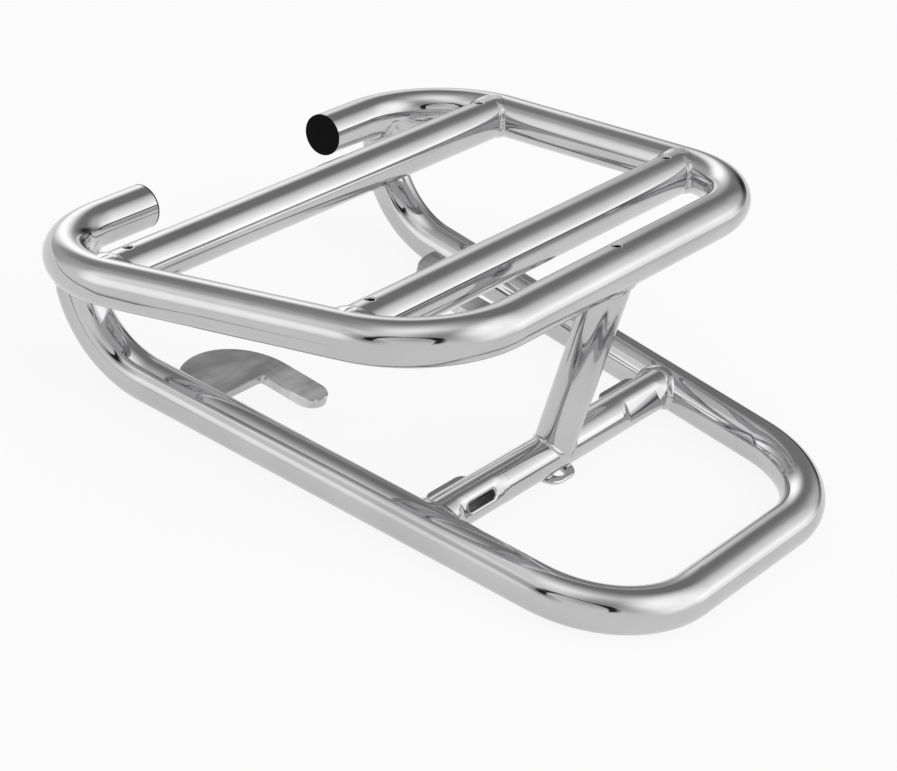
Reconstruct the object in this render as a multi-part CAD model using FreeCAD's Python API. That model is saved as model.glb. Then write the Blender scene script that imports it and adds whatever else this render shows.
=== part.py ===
import FreeCAD, Part
import math
import os

from functools import lru_cache
from FreeCAD import Vector

# Motorcycle luggage rack of bent round tube, seen in its own frame: +X forward, +Y left, +Z up.
# A closed-end grab loop lies flat on Z = 0 and its two front legs bend up to carry the upper frame.
# The upper frame is one bent tube that falls towards the front, where its ends turn in as two stubs.
# The origin is midway between the loop's rear rail and the stubs, on the surface that it stands on.

# Tube stock
main_tube_diameter = 22.0
main_tube_wall = 1.5
brace_tube_diameter = 20.0
brace_tube_wall = 1.5
bend_radius = 53.5
fit_up_gap = 0.2

# Upper frame, measured along centre lines
frame_slope = 13.4
frame_length = 229.0
frame_rear_width = 260.0
frame_front_width = 319.0
frame_opening = 138.0
frame_rear_height = 117.5
frame_rear_setback = 99.5

# Bars across the upper frame, measured along its slope from the rear rail
front_bar_place = 176.0
rear_bar_place = 49.0
vent_diameter = 4.5
vent_inset = 18.5

# Lower grab loop, measured between centre lines
loop_rear_width = 183.0
loop_front_width = 235.0
leg_overrun = 14.0
ground_gap = 0.3

# Brace across the loop and the strut that stands on it; only the left one of its two seats has a slot
cross_tube_place = 109.0
seat_spacing = 133.0
slot_length = 22.0
slot_width = 6.5
slot_lead_in = 0.6
seat_angle = 62.0
seat_length = 27.0
seat_shift = 1.5
seat_depth = 1.4
seat_ramp = 2.5

# Rounded stop lugs on the front of the brace
lug_spacing = 141.0
lug_length = 33.0
lug_reach = 13.3
lug_thickness = 4.0
lug_top_rise = 3.0
lug_corner = 7.0

# Eye tab under the middle of the brace
tab_width = 23.0
tab_reach = 12.2
tab_thickness = 2.0
tab_corner = 8.0
eye_diameter = 9.0
eye_setback = 5.0

# Hook plates on the inner sides of the loop; the right one sits further back and further out
hook_radius = 31.5
left_hook_setback = 84.3
left_hook_inset = 28.6
right_hook_setback = 89.3
right_hook_inset = 12.5
hook_arm_width = 17.5
hook_arm_reach = 31.5
hook_thickness = 5.0
hook_notch_corner = 1.5
plate_edge = 0.5

# Plastic plugs in the stubs
plug_flange = 1.0
plug_edge = 0.3
plug_stem = 12.0
plug_clearance = 0.15
plug_wall = 1.6
plug_rib_height = 1.0
plug_rib_width = 1.2
plug_ribs = 3

# Weld beads round the tube joints and along the plates
bead_radius = 2.1
bead_stand_off = 0.6
bead_lap = 0.3
bead_gap = 0.25
bead_stations = 28
bead_crowding = 0.5
bead_root_points = 2
seam_radius = 1.7
seam_stand_off = 0.4
seam_margin = 4.0
seam_stations = 9
seam_end_scale = 0.4
tab_seam_radius = 1.2
tab_seam_margin = 1.2
search_steps = 14

# Values that follow from those above
main_radius = main_tube_diameter / 2
brace_radius = brace_tube_diameter / 2
slope = math.radians(frame_slope)
frame_reach = frame_rear_setback + frame_length * math.cos(slope)
loop_rear_x = -frame_reach / 2
loop_height = main_radius
frame_rear_x = loop_rear_x + frame_rear_setback
cross_tube_x = loop_rear_x + cross_tube_place

up = Vector(0, 0, 1)
leftward = Vector(0, 1, 0)
frame_up = Vector(math.sin(slope), 0, math.cos(slope))
sides = {"left": 1, "right": -1}


# Points, rods and bent tubes

def frame_point(along, across, rise=0.0):
    # A point of the sloping frame: along it from the rear rail, across it, and above its centre lines.
    x = frame_rear_x + along * math.cos(slope)
    z = frame_rear_height - along * math.sin(slope)
    return Vector(x, across, z) + frame_up * rise


def frame_half_width(along):
    flare = (frame_front_width - frame_rear_width) / 2
    return frame_rear_width / 2 + flare * along / frame_length


def straight_rod(start, end, radius):
    axis = end - start
    return Part.makeCylinder(radius, axis.Length, start, axis)


def bent_line(points):
    # Straight runs joined by tangent arcs of the common bend radius, as a list of edges.
    edges = []
    start = points[0]
    for before, corner, after in zip(points, points[1:], points[2:]):
        incoming = (corner - before).normalize()
        outgoing = (after - corner).normalize()
        half_turn = incoming.getAngle(outgoing) / 2
        tangent = bend_radius * math.tan(half_turn)
        inner = (outgoing - incoming).normalize()
        middle = corner + inner * (bend_radius / math.cos(half_turn) - bend_radius)
        end = corner + outgoing * tangent
        edges.append(Part.makeLine(start, corner - incoming * tangent))
        edges.append(Part.Arc(corner - incoming * tangent, middle, end).toShape())
        start = end
    edges.append(Part.makeLine(start, points[-1]))
    return edges


def bent_rod(line, radius):
    # Cylinders along the straight runs and parts of a torus round the bends, as one solid.
    pieces = []
    for edge in line:
        start = edge.valueAt(edge.FirstParameter)
        heading = edge.tangentAt(edge.FirstParameter)
        section = Part.Face(Part.Wire(Part.makeCircle(radius, start, heading)))
        if edge.Curve.TypeId == "Part::GeomLine":
            pieces.append(section.extrude(heading * edge.Length))
        else:
            turn = math.degrees(edge.Length / edge.Curve.Radius)
            pieces.append(section.revolve(edge.Curve.Center, edge.Curve.Axis, turn))
    return pieces[0].multiFuse(pieces[1:]).removeSplitter()


def largest_solid(shape):
    return max(shape.Solids, key=lambda solid: solid.Volume)


def hollow(make_rod, radius, wall):
    return make_rod(radius).cut(make_rod(radius - wall))


# Centre lines of the tubes

def frame_route():
    half_opening = frame_opening / 2
    half_front = frame_front_width / 2
    half_rear = frame_rear_width / 2
    left = [(frame_length, half_opening), (frame_length, half_front), (0.0, half_rear)]
    right = [(along, -across) for along, across in reversed(left)]
    return [frame_point(along, across) for along, across in left + right]


def rail_above(across):
    # The point of the upper frame's centre line that lies above a leg, in its front bend or beside it.
    flare = math.atan2((frame_front_width - frame_rear_width) / 2, frame_length)
    turn = math.pi / 2 + flare
    bend_across = frame_front_width / 2 - bend_radius * math.tan(turn / 2)
    beyond = min(max(abs(across) - bend_across, 0.0), bend_radius * math.cos(flare))
    along = frame_length - bend_radius + math.sqrt(bend_radius ** 2 - beyond ** 2)
    return frame_point(along, across)


leg_x = rail_above(loop_front_width / 2).x
leg_rail_height = rail_above(loop_front_width / 2).z


def loop_half_width(x):
    share = (x - loop_rear_x) / (leg_x - loop_rear_x)
    return (loop_rear_width + (loop_front_width - loop_rear_width) * share) / 2


def loop_route():
    top = leg_rail_height + leg_overrun
    half_front = loop_front_width / 2
    half_rear = loop_rear_width / 2
    left = [
        Vector(leg_x, half_front, top),
        Vector(leg_x, half_front, loop_height),
        Vector(loop_rear_x, half_rear, loop_height),
    ]
    right = [Vector(point.x, -point.y, point.z) for point in reversed(left)]
    return left + right


def bar_ends(along):
    half = frame_half_width(along)
    return frame_point(along, half), frame_point(along, -half)


def cross_tube_ends():
    half = loop_half_width(cross_tube_x)
    return Vector(cross_tube_x, half, loop_height), Vector(cross_tube_x, -half, loop_height)


def strut_ends():
    return Vector(cross_tube_x, 0, loop_height), frame_point(0.0, 0.0)


@lru_cache(maxsize=None)
def frame_line():
    return bent_line(frame_route())


@lru_cache(maxsize=None)
def loop_line():
    return bent_line(loop_route())


@lru_cache(maxsize=None)
def frame_rod(radius):
    return bent_rod(frame_line(), radius)


@lru_cache(maxsize=None)
def loop_rod(radius):
    # The legs run past the frame above them, so that the frame's own surface copes their tops.
    return bent_rod(loop_line(), radius)


def cross_tube_rod(radius):
    return straight_rod(*cross_tube_ends(), radius)


def strut_rod(radius):
    return straight_rod(*strut_ends(), radius)


# Upper frame and its bars

def vent(point):
    return Part.makeCylinder(vent_diameter / 2, main_tube_diameter, point, frame_up)


def make_top_rail():
    rail = hollow(frame_rod, main_radius, main_tube_wall)
    return rail.cut(vent(frame_point(0.0, 0.0)))


def make_bar(along):
    def bar_rod(radius):
        return straight_rod(*bar_ends(along), radius)
    bar = hollow(bar_rod, main_radius, main_tube_wall).cut(frame_rod(main_radius + fit_up_gap))
    vent_across = frame_half_width(along) - vent_inset
    for side in sides.values():
        bar = bar.cut(vent(frame_point(along, side * vent_across)))
    return largest_solid(bar)


# Lower loop, brace and strut

def make_lower_loop():
    loop = hollow(loop_rod, main_radius, main_tube_wall)
    return largest_solid(loop.cut(frame_rod(main_radius + fit_up_gap)))


def seat_frame(side):
    # The spot on a pressed seat's face where its slot is centred, the face's normal and the way up it.
    lean = math.radians(seat_angle)
    normal = Vector(-math.sin(lean), 0, math.cos(lean))
    rise = Vector(math.cos(lean), 0, math.sin(lean))
    axis_point = Vector(cross_tube_x, side * seat_spacing / 2, loop_height)
    return axis_point + normal * (brace_radius - seat_depth), normal, rise


def seat_press(side, sink):
    # A ramped block that presses the wall in; sink lowers its face to shape the inside of the wall.
    middle, normal, rise = seat_frame(side)
    half_face = seat_length / 2
    half_top = half_face + seat_ramp
    face = middle + leftward * side * seat_shift - normal * sink - rise * brace_tube_diameter
    top = face + normal * (seat_ramp + sink)
    profile = [
        face + leftward * half_face,
        top + leftward * half_top,
        top - leftward * half_top,
        face - leftward * half_face,
    ]
    outline = Part.makePolygon(profile + profile[:1])
    return Part.Face(outline).extrude(rise * 2 * brace_tube_diameter)


def obround(middle, normal, rise, length, width):
    # A slot's outline across a tube: two straight sides along Y and two round ends.
    half_run = (length - width) / 2
    radius = width / 2
    points = {}
    for end in (1, -1):
        centre = middle + leftward * end * half_run
        points[end] = (centre + rise * radius, centre + leftward * end * radius, centre - rise * radius)
    edges = [
        Part.Arc(*points[1]).toShape(),
        Part.makeLine(points[1][2], points[-1][2]),
        Part.Arc(*reversed(points[-1])).toShape(),
        Part.makeLine(points[-1][0], points[1][0]),
    ]
    return Part.Wire(edges)


def slot_cutter(side):
    # The slot runs through both walls and has a small lead-in at the seat's face.
    middle, normal, rise = seat_frame(side)
    flared = obround(middle, normal, rise, slot_length + 2 * slot_lead_in, slot_width + 2 * slot_lead_in)
    throat = obround(middle - normal * slot_lead_in, normal, rise, slot_length, slot_width)
    lead_in = Part.makeLoft([flared, throat], True, True)
    above = Part.Face(flared).extrude(normal * brace_radius)
    through = Part.Face(throat).extrude(-normal * brace_tube_diameter)
    return lead_in.multiFuse([above, through])


def make_lower_cross_tube():
    outside = cross_tube_rod(brace_radius)
    inside = cross_tube_rod(brace_radius - brace_tube_wall)
    for side in sides.values():
        outside = outside.cut(seat_press(side, 0.0))
        inside = inside.cut(seat_press(side, brace_tube_wall))
    tube = outside.cut(inside).cut(loop_rod(main_radius + fit_up_gap))
    return largest_solid(tube.cut(slot_cutter(sides["left"])))


def make_strut():
    strut = hollow(strut_rod, brace_radius, brace_tube_wall)
    strut = strut.cut(frame_rod(main_radius + fit_up_gap))
    return largest_solid(strut.cut(cross_tube_rod(brace_radius + fit_up_gap)))


# Flat plates welded to the tubes

def rounded_plate(outline, thickness, top, trim):
    # A plate with broken edges, cut back to the tube that it is welded to.
    plate = Part.Face(outline).extrude(-up * thickness)
    plate.translate(up * top)
    rim = [edge for edge in plate.Edges if edge.BoundBox.ZLength < plate_edge]
    plate = plate.makeChamfer(plate_edge, rim)
    return largest_solid(plate.cut(trim))


def filleted_outline(corners, radii):
    # A closed outline in plan whose corners are rounded, each by its own radius.
    edges = []
    tips = []
    count = len(corners)
    for index in range(count):
        corner = corners[index]
        radius = radii[index]
        back = (corners[index - 1] - corner).normalize()
        ahead = (corners[(index + 1) % count] - corner).normalize()
        if not radius:
            tips.append((corner, corner))
            continue
        half = back.getAngle(ahead) / 2
        run = radius / math.tan(half)
        inner = (back + ahead).normalize()
        middle = corner + inner * (radius / math.sin(half) - radius)
        tips.append((corner + back * run, corner + ahead * run))
        edges.append(Part.Arc(tips[-1][0], middle, tips[-1][1]).toShape())
    for index in range(count):
        edges.append(Part.makeLine(tips[index][1], tips[(index + 1) % count][0]))
    return Part.Wire(Part.__sortEdges__(edges))


def hook_centre(side):
    # The middle of a hook plate's disc: its place along the rack, and how far it lies from the middle plane.
    if side == sides["left"]:
        x = leg_x - left_hook_setback
        return x, loop_half_width(x) - left_hook_inset
    x = leg_x - right_hook_setback
    return x, loop_half_width(x) - right_hook_inset


def hook_outline(side):
    # Half a disc ahead of the notch, an arm that runs back from it, and a square notch beside the arm.
    hook_x, centre_y = hook_centre(side)
    arm_outer = centre_y - hook_radius
    arm_inner = arm_outer + hook_arm_width
    arm_end = hook_x - hook_arm_reach + hook_arm_width / 2
    arm_tip = Vector(hook_x - hook_arm_reach, side * (arm_outer + hook_arm_width / 2), 0)
    disc_front = Vector(hook_x + hook_radius, side * centre_y, 0)
    outboard = Vector(hook_x, side * (centre_y + hook_radius), 0)
    inboard = Vector(hook_x, side * arm_outer, 0)
    arm_outer_end = Vector(arm_end, side * arm_outer, 0)
    arm_inner_end = Vector(arm_end, side * arm_inner, 0)
    notch_rear = Vector(hook_x - hook_notch_corner, side * arm_inner, 0)
    notch_side = Vector(hook_x, side * (arm_inner + hook_notch_corner), 0)
    diagonal = hook_notch_corner * (1 - math.sqrt(0.5))
    notch_middle = Vector(hook_x - diagonal, side * (arm_inner + diagonal), 0)
    return Part.Wire([
        Part.Arc(outboard, disc_front, inboard).toShape(),
        Part.makeLine(inboard, arm_outer_end),
        Part.Arc(arm_outer_end, arm_tip, arm_inner_end).toShape(),
        Part.makeLine(arm_inner_end, notch_rear),
        Part.Arc(notch_rear, notch_middle, notch_side).toShape(),
        Part.makeLine(notch_side, outboard),
    ])


def make_hook_plate(side):
    top = loop_height + hook_thickness / 2
    trim = loop_rod(main_radius + fit_up_gap)
    return rounded_plate(hook_outline(side), hook_thickness, top, trim)


def plan_corner(x, y):
    return Vector(x, y, 0)


def make_stop_lug(side):
    middle = side * lug_spacing / 2
    front = cross_tube_x + lug_reach
    near = middle - lug_length / 2
    far = middle + lug_length / 2
    corners = [
        plan_corner(cross_tube_x, near),
        plan_corner(front, near),
        plan_corner(front, far),
        plan_corner(cross_tube_x, far),
    ]
    outline = filleted_outline(corners, [0, lug_corner, lug_corner, 0])
    trim = cross_tube_rod(brace_radius + fit_up_gap)
    return rounded_plate(outline, lug_thickness, loop_height + lug_top_rise, trim)


def tab_top():
    return ground_gap + tab_thickness


def make_eye_tab():
    rear = cross_tube_x - tab_reach
    half = tab_width / 2
    corners = [
        plan_corner(cross_tube_x, -half),
        plan_corner(cross_tube_x, half),
        plan_corner(rear, half),
        plan_corner(rear, -half),
    ]
    outline = filleted_outline(corners, [0, 0, tab_corner, tab_corner])
    trim = cross_tube_rod(brace_radius + fit_up_gap)
    tab = rounded_plate(outline, tab_thickness, tab_top(), trim)
    eye_base = Vector(cross_tube_x - eye_setback, 0, 0)
    return tab.cut(Part.makeCylinder(eye_diameter / 2, tab_top() * 2, eye_base, up))


# Plastic plugs

def make_end_plug(side):
    # A flange as wide as the tube, and a hollow stem whose ribs grip the bore.
    face = frame_point(frame_length, side * frame_opening / 2)
    outward = -leftward * side
    inward = leftward * side
    rib_radius = main_radius - main_tube_wall - plug_clearance
    stem_radius = rib_radius - plug_rib_height
    flange = Part.makeCylinder(main_radius, plug_flange, face, outward)
    rim = [edge for edge in flange.Edges if abs(edge.CenterOfMass.y - face.y) > plug_edge]
    plug = flange.makeFillet(plug_edge, rim)
    parts = [Part.makeCylinder(stem_radius, plug_stem, face, inward)]
    pitch = plug_stem / (plug_ribs + 1)
    for index in range(plug_ribs):
        rib_base = face + inward * (pitch * (index + 1) - plug_rib_width / 2)
        parts.append(Part.makeCylinder(rib_radius, plug_rib_width, rib_base, inward))
    plug = plug.multiFuse(parts)
    core = Part.makeCylinder(stem_radius - plug_wall, plug_stem, face + inward * plug_flange, inward)
    return largest_solid(plug.cut(core).removeSplitter())


# Weld beads

def nearest(line, point):
    # The point of a centre line, given as edges, that is nearest to a point.
    spots = []
    for edge in line:
        at = edge.Curve.parameter(point)
        at = min(max(at, edge.FirstParameter), edge.LastParameter)
        spots.append(edge.Curve.value(at))
    return min(spots, key=lambda spot: spot.distanceToPoint(point))


def distance(line, point):
    return nearest(line, point).distanceToPoint(point)


def turning_value(low, high, passed):
    # The value between two limits at which a test turns from false to true.
    for _ in range(search_steps):
        middle = (low + high) / 2
        if passed(middle):
            high = middle
        else:
            low = middle
    return (low + high) / 2


def bead_section(centre, heading, outward, radius, clearance):
    # A slice of a bead: round where it stands free, and cut short where it meets tube or plate.
    across = heading.cross(outward).normalize()
    outward = across.cross(heading).normalize()

    def spot(angle, reach):
        return centre + (outward * math.cos(angle) + across * math.sin(angle)) * reach

    first, last = [
        turning_value(0.0, limit, lambda angle: clearance(spot(angle, radius)) < 0)
        for limit in (-math.pi, math.pi)
    ]
    crown = Part.Arc(spot(first, radius), spot((first + last) / 2, radius), spot(last, radius))
    root = [spot(last, radius)]
    step = (first + 2 * math.pi - last) / (bead_root_points + 1)
    for index in range(bead_root_points):
        angle = last + step * (index + 1)
        reach = turning_value(0.0, radius, lambda reach: clearance(spot(angle, reach)) < 0)
        root.append(spot(angle, reach))
    root.append(spot(first, radius))
    runs = [Part.makeLine(here, there) for here, there in zip(root, root[1:])]
    return Part.Wire([crown.toShape()] + runs)


def ring_bead(main_line, main_size, branch_line, branch_size, start, direction):
    # A bead round a branch tube that leaves a main tube at start in the given direction.
    # Its centre lies a little outside both tubes, and its slices crowd where the joint turns sharply.
    near_edge = min(main_line, key=lambda edge: distance([edge], start))
    lengthways = near_edge.tangentAt(near_edge.Curve.parameter(start))
    side = direction.cross(lengthways).normalize()
    lengthways = side.cross(direction)

    def clearance(point):
        from_main = distance(main_line, point) - main_size
        return min(from_main, distance(branch_line, point) - branch_size) - bead_gap

    centres = []
    for index in range(bead_stations):
        turn = 2 * math.pi * index / bead_stations
        turn = turn + bead_crowding * math.sin(2 * turn) / 2
        ray = lengthways * math.cos(turn) + side * math.sin(turn)
        reach = branch_size + bead_lap
        for _ in range(3):
            foot = start + ray * reach
            along = turning_value(
                0.0, 3 * main_size,
                lambda run: distance(main_line, foot + direction * run) > main_size + bead_stand_off)
            centre = foot + direction * along
            reach += branch_size + bead_lap - distance(branch_line, centre)
        centres.append(centre)
    slices = []
    for index, centre in enumerate(centres):
        heading = (centres[(index + 1) % bead_stations] - centres[index - 1]).normalize()
        from_main = (centre - nearest(main_line, centre)).normalize()
        from_branch = (centre - nearest(branch_line, centre)).normalize()
        slices.append(bead_section(centre, heading, from_main + from_branch, bead_radius, clearance))
    return Part.makeLoft(slices, True, True, True)


def inward(points, side):
    # The start and direction of the tube end on one side, for two ends given left first.
    start, far = points if side > 0 else reversed(points)
    return start, (far - start).normalize()


def make_bar_weld(along, side):
    ends = bar_ends(along)
    start, direction = inward(ends, side)
    return ring_bead(frame_line(), main_radius, [Part.makeLine(*ends)], main_radius, start, direction)


def make_cross_tube_weld(side):
    ends = cross_tube_ends()
    start, direction = inward(ends, side)
    bead = ring_bead(loop_line(), main_radius, [Part.makeLine(*ends)], brace_radius, start, direction)
    span = frame_reach
    ground = Part.makeBox(2 * span, 2 * span, span, Vector(-span, -span, ground_gap - span))
    return largest_solid(bead.cut(ground))


def make_strut_weld(main_line, main_size, ends):
    start, direction = inward(ends, 1)
    return ring_bead(main_line, main_size, [Part.makeLine(*ends)], brace_radius, start, direction)


def make_leg_weld(side):
    start = rail_above(side * loop_front_width / 2)
    return ring_bead(frame_line(), main_radius, loop_line(), main_radius, start, -up)


def seam_bead(start, end, radius, tube_line, tube_size, plate_height, plate_side):
    # A straight bead between a tube and the upper (1) or lower (-1) face of a plate, with tapered ends.
    def clearance(point):
        from_tube = distance(tube_line, point) - tube_size
        return min(from_tube, plate_side * (point.z - plate_height)) - bead_gap

    heading = (end - start).normalize()
    slices = []
    for index in range(seam_stations):
        share = index / (seam_stations - 1)
        centre = start + (end - start) * share
        scale = max(seam_end_scale, math.sqrt(1 - (2 * share - 1) ** 4))
        outward = (centre - nearest(tube_line, centre)).normalize() + up * plate_side
        slices.append(bead_section(centre, heading, outward, radius * scale, clearance))
    return Part.makeLoft(slices, True, True)


def seam_reach(tube_size, drop):
    # How far a seam's centre lies from the tube's middle plane, when it is this far above or below.
    return math.sqrt((tube_size + seam_stand_off) ** 2 - drop ** 2)


def make_hook_weld(side):
    # The bead lies under the plate, along the inner side of the loop's rail, so the top face stays free.
    hook_x, centre_y = hook_centre(side)
    chord = math.sqrt(hook_radius ** 2 - (loop_half_width(hook_x) - centre_y - main_radius) ** 2)
    rear = hook_x + seam_margin
    front = hook_x + chord - seam_margin
    plate_height = loop_height - hook_thickness / 2
    z = plate_height - seam_stand_off
    reach = seam_reach(main_radius, z - loop_height)
    start = Vector(rear, side * (loop_half_width(rear) - reach), z)
    end = Vector(front, side * (loop_half_width(front) - reach), z)
    return seam_bead(start, end, seam_radius, loop_line(), main_radius, plate_height, -1)


def make_lug_weld(side):
    # The bead lies under the lug, along the front of the brace.
    plate_height = loop_height + lug_top_rise - lug_thickness
    z = plate_height - seam_stand_off
    x = cross_tube_x + seam_reach(brace_radius, z - loop_height)
    near = side * (lug_spacing - lug_length) / 2 + side * seam_margin
    far = side * (lug_spacing + lug_length) / 2 - side * seam_margin
    line = [Part.makeLine(*cross_tube_ends())]
    return seam_bead(Vector(x, near, z), Vector(x, far, z), seam_radius, line, brace_radius, plate_height, -1)


def make_tab_weld():
    # A short bead on each side of the eye, in the wedge between the tab and the brace.
    z = tab_top() + seam_stand_off
    x = cross_tube_x - seam_reach(brace_radius, loop_height - z)
    near = eye_diameter / 2 + tab_seam_margin
    far = tab_width / 2 - tab_seam_margin
    line = [Part.makeLine(*cross_tube_ends())]
    beads = []
    for side in sides.values():
        start = Vector(x, side * near, z)
        end = Vector(x, side * far, z)
        beads.append(seam_bead(start, end, tab_seam_radius, line, brace_radius, tab_top(), 1))
    return Part.makeCompound(beads)


# All the pieces, by name

def build():
    pieces = {
        "top_rail": make_top_rail(),
        "front_bar": make_bar(front_bar_place),
        "rear_bar": make_bar(rear_bar_place),
        "lower_loop": make_lower_loop(),
        "lower_cross_tube": make_lower_cross_tube(),
        "strut": make_strut(),
        "eye_tab": make_eye_tab(),
        "strut_top_weld": make_strut_weld(frame_line(), main_radius, strut_ends()[::-1]),
        "strut_foot_weld": make_strut_weld([Part.makeLine(*cross_tube_ends())], brace_radius, strut_ends()),
        "eye_tab_weld": make_tab_weld(),
    }
    for name, side in sides.items():
        pieces["end_plug_" + name] = make_end_plug(side)
        pieces["hook_plate_" + name] = make_hook_plate(side)
        pieces["stop_lug_" + name] = make_stop_lug(side)
        pieces["front_bar_weld_" + name] = make_bar_weld(front_bar_place, side)
        pieces["rear_bar_weld_" + name] = make_bar_weld(rear_bar_place, side)
        pieces["cross_tube_weld_" + name] = make_cross_tube_weld(side)
        pieces["leg_weld_" + name] = make_leg_weld(side)
        pieces["hook_weld_" + name] = make_hook_weld(side)
        pieces["lug_weld_" + name] = make_lug_weld(side)
    return pieces


os.makedirs("parts", exist_ok=True)
for node, shape in build().items():
    shape.exportStep("parts/" + node + ".step")
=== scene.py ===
import bpy
import itertools
import math
import numpy as np
from mathutils import Matrix, Vector


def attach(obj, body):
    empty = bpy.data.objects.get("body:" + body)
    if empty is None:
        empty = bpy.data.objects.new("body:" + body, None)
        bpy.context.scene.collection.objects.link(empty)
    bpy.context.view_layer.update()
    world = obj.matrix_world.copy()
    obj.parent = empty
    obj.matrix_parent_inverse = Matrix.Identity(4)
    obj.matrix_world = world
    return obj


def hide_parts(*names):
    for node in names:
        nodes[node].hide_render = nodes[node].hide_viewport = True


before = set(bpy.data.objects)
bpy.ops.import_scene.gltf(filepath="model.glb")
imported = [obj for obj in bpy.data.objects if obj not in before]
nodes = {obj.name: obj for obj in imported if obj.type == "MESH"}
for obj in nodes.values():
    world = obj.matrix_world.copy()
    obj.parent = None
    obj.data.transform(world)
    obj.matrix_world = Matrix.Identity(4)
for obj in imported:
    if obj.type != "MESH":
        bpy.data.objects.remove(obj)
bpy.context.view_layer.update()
print("frame loaded:", len(nodes), "nodes")

mm = 0.001
turn = 2 * np.pi

# sizes of the rack's stock and layout, in millimetres, as the solids have them
rack = {
    "mainRadius": 11.0,
    "braceRadius": 10.0,
    "wall": 1.5,
    "bendRadius": 53.5,
    "slope": math.radians(13.4),
    "frameLength": 229.0,
    "frameRearWidth": 260.0,
    "frameFrontWidth": 319.0,
    "frameOpening": 138.0,
    "frameRearHeight": 117.5,
    "frameRearSetback": 99.5,
    "frontBarPlace": 176.0,
    "rearBarPlace": 49.0,
    "loopRearWidth": 183.0,
    "loopFrontWidth": 235.0,
    "legOverrun": 14.0,
    "crossTubePlace": 109.0,
    "fitUpGap": 0.2,
}

frameReach = rack["frameRearSetback"] + rack["frameLength"] * math.cos(rack["slope"])
loopRearX = -frameReach / 2
frameRearX = loopRearX + rack["frameRearSetback"]
crossTubeX = loopRearX + rack["crossTubePlace"]
loopHeight = rack["mainRadius"]
frameUp = np.array([math.sin(rack["slope"]), 0.0, math.cos(rack["slope"])])


def framePoint(along, across):
    # along the sloping frame from its rear rail, and across it
    return np.array([frameRearX + along * math.cos(rack["slope"]), across,
                     rack["frameRearHeight"] - along * math.sin(rack["slope"])])


def railAbove(across):
    # where the frame's centre line passes over a leg, in the front bend or beside it
    flare = math.atan2((rack["frameFrontWidth"] - rack["frameRearWidth"]) / 2, rack["frameLength"])
    bend = rack["bendRadius"]
    bendAcross = rack["frameFrontWidth"] / 2 - bend * math.tan((math.pi / 2 + flare) / 2)
    beyond = min(max(abs(across) - bendAcross, 0.0), bend * math.cos(flare))
    return framePoint(rack["frameLength"] - bend + math.sqrt(bend ** 2 - beyond ** 2), across)


legTop = railAbove(rack["loopFrontWidth"] / 2)
legX = legTop[0]


def loopHalfWidth(x):
    share = (x - loopRearX) / (legX - loopRearX)
    return (rack["loopRearWidth"] + (rack["loopFrontWidth"] - rack["loopRearWidth"]) * share) / 2


def frameHalfWidth(along):
    flare = (rack["frameFrontWidth"] - rack["frameRearWidth"]) / 2
    return rack["frameRearWidth"] / 2 + flare * along / rack["frameLength"]


def unit(vector):
    return vector / np.linalg.norm(vector, axis=-1, keepdims=True)


def smoothStep(t):
    t = np.clip(t, 0, 1)
    return t * t * (3 - 2 * t)


def srgb(hexColour):
    # sRGB hex to linear values
    channels = [int(hexColour[i:i + 2], 16) / 255 for i in (0, 2, 4)]
    linear = [c / 12.92 if c <= 0.04045 else ((c + 0.055) / 1.055) ** 2.4 for c in channels]
    return (*linear, 1.0)


def addNode(tree, kind, settings=None, links=None):
    # One node with its settings (an input by name or place, or a property) and its input links. A link comes
    # from a socket, or from another node's first output.
    node = tree.nodes.new("ShaderNode" + kind)
    for key, value in (settings or {}).items():
        if isinstance(key, int) or key in node.inputs:
            node.inputs[key].default_value = value
        else:
            setattr(node, key, value)
    for key, source in (links or {}).items():
        socket = source if isinstance(source, bpy.types.NodeSocket) else source.outputs[0]
        tree.links.new(socket, node.inputs[key])
    return node


def makeMaterial(name, shaderOf, *values):
    # a material whose nodes are those that one function adds, ending with its shader
    material = bpy.data.materials.new(name)
    material.use_nodes = True
    tree = material.node_tree
    tree.nodes.clear()
    addNode(tree, "OutputMaterial", None, {"Surface": shaderOf(tree, *values)})
    return material


noiseMiddle = {"From Min": 0.3, "From Max": 0.7}  # most of a noise's values lie between these

chromeTube = {
    "colours": ("cbcbcc", "bfbfc0"),  # chromium's own grey, and where the polish is a little thinner
    "cloudPitch": 45.5,      # mm between the places of thinner polish
    "roughness": {"To Min": 0.02, "To Max": 0.085},
    "buffPitch": 0.9,        # mm between buffing marks, coarser than the real 0.1 mm so that they show
    "buffLength": 50.0,
    "buffDepth": 0.005,
}


def buffedTube(tree):
    # Chromium plate over tube that was buffed lengthways: mirror bright, with faint streaks along the tube.
    run = addNode(tree, "UVMap", {"uv_map": "run"})  # u is mm along the tube, v is mm round it
    scale = (1 / chromeTube["buffLength"], 1 / chromeTube["buffPitch"], 1)
    stretch = addNode(tree, "Mapping", {"Scale": scale}, {"Vector": run})
    streaks = addNode(tree, "TexNoise", {"Scale": 1.0, "Detail": 3.0, "Roughness": 0.6}, {"Vector": stretch})
    place = addNode(tree, "TexCoord").outputs["Object"]
    clouds = addNode(tree, "TexNoise", {"Scale": 1000 / chromeTube["cloudPitch"], "Detail": 3.0},
                     {"Vector": place})
    gloss = addNode(tree, "MapRange", {**noiseMiddle, **chromeTube["roughness"]}, {"Value": streaks})
    polishAndSheenMix = addNode(tree, "MapRange", noiseMiddle, {"Value": clouds})
    clear, thin = map(srgb, chromeTube["colours"])
    colour = addNode(tree, "Mix", {"data_type": "RGBA", 6: clear, 7: thin}, {0: polishAndSheenMix}).outputs[2]
    bump = addNode(tree, "Bump", {"Strength": 0.4, "Distance": chromeTube["buffDepth"] * mm},
                   {"Height": streaks})
    return addNode(tree, "BsdfPrincipled", {"Metallic": 1.0},
                   {"Base Color": colour, "Roughness": gloss, "Normal": bump})


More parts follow.
